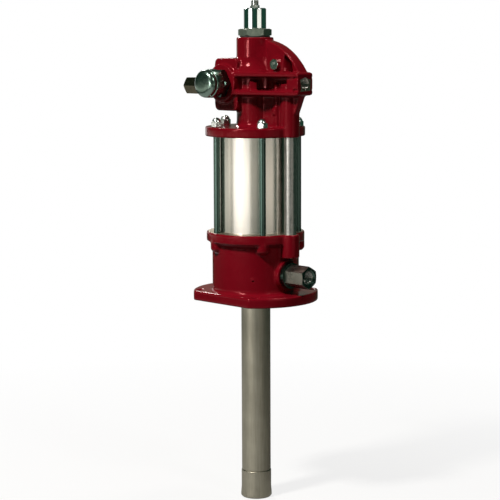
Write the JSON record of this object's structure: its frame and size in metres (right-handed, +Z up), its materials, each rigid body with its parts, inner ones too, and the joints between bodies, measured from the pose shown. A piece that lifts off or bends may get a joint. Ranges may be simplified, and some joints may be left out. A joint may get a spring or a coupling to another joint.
{
  "type": "drum oil pump",
  "caption": "Air-driven oil pump: red cast air motor with valve head and steel cylinder on a flanged base with side outlet, above a stub pump tube with foot valve.",
  "frame": {"origin": "centre of the mounting flange's underside, on the pump's centre line", "axes": "+Z up along the pump's centre line, +X towards the oil outlet, the air transfer tube and the exhaust port, the valve end cap faces -Y"},
  "size_m": [0.234, 0.1505, 0.7218],
  "materials": {
    "red_paint": "thick gloss enamel over cast iron",
    "zinc": "turned and zinc plated, slightly dulled",
    "steel": "ground steel",
    "stainless": "polished stainless tube",
    "tube_steel": "plain drawn pipe with an oily grey-brown surface",
    "chrome": "bright chrome plate",
    "bronze": "turned bronze",
    "rubber": "black nitrile rubber"
  },
  "bodies": {
    "pump": {"base_casting": "red_paint", "head_casting": "red_paint", "outlet_adapter": "zinc", "outlet_seal": "rubber", "rod_packing": "rubber", "packing_gland": "bronze", "rod_bush": "bronze", "rod_air_seal": "rubber", "pump_tube": "tube_steel", "foot_valve_body": "tube_steel", "foot_stop_pin": "steel", "air_cylinder": "stainless", "cylinder_gaskets": "rubber", "tie_rods": "zinc", "tie_rod_nuts": "zinc", "transfer_tube": "zinc", "transfer_seals": "rubber", "valve_end_cap": "zinc", "valve_rear_plug": "zinc", "valve_cap_washers": "steel", "valve_sleeve": "bronze", "inlet_nipple": "zinc", "inlet_coupling": "zinc", "neck_plug": "zinc", "neck_gasket": "rubber", "rod_cap": "chrome", "cap_lock_nut": "zinc", "cap_stud": "steel", "pivot_screw": "zinc"},
    "piston": {"air_piston": "steel", "piston_seal": "rubber", "piston_nut": "zinc", "piston_rod": "chrome", "connecting_rod": "steel", "pump_piston": "steel", "pump_piston_seal": "rubber"},
    "piston_ball": {"pump_piston_ball": "chrome"},
    "foot_check": {"foot_ball": "chrome"},
    "trip": {"trip_rod": "steel", "trip_nut": "steel"},
    "lever": {"trip_lever": "steel"},
    "pilot": {"pilot_spool": "steel"},
    "spool": {"valve_spool": "steel"}
  },
  "joints": [
    {"name": "piston_stroke", "type": "slide", "parent": "pump", "child": "piston", "axis": [0, 0, 1], "range_m": [0, 0.1016]},
    {"name": "piston_ball_lift", "type": "slide", "parent": "piston", "child": "piston_ball", "axis": [0, 0, 1], "range_m": [0, 0.004]},
    {"name": "foot_ball_lift", "type": "slide", "parent": "pump", "child": "foot_check", "axis": [0, 0, 1], "range_m": [0, 0.006]},
    {"name": "trip_slide", "type": "slide", "parent": "pump", "child": "trip", "axis": [0, 0, 1], "range_m": [0, 0.008]},
    {"name": "lever_pivot", "type": "hinge", "parent": "pump", "child": "lever", "pos_m": [0.052, 0, 0.339], "axis": [0, 1, 0], "range_deg": [0, 8.83]},
    {"name": "pilot_slide", "type": "slide", "parent": "pump", "child": "pilot", "axis": [-1, 0, 0], "range_m": [0, 0.00416]},
    {"name": "spool_slide", "type": "slide", "parent": "pump", "child": "spool", "axis": [0, 1, 0], "range_m": [0, 0.008]}
  ],
  "couplings": [
    {"joint": "lever_pivot", "follows": "trip_slide", "rad_per_m": 19.231},
    {"joint": "pilot_slide", "follows": "trip_slide", "ratio": 0.51923}
  ]
}
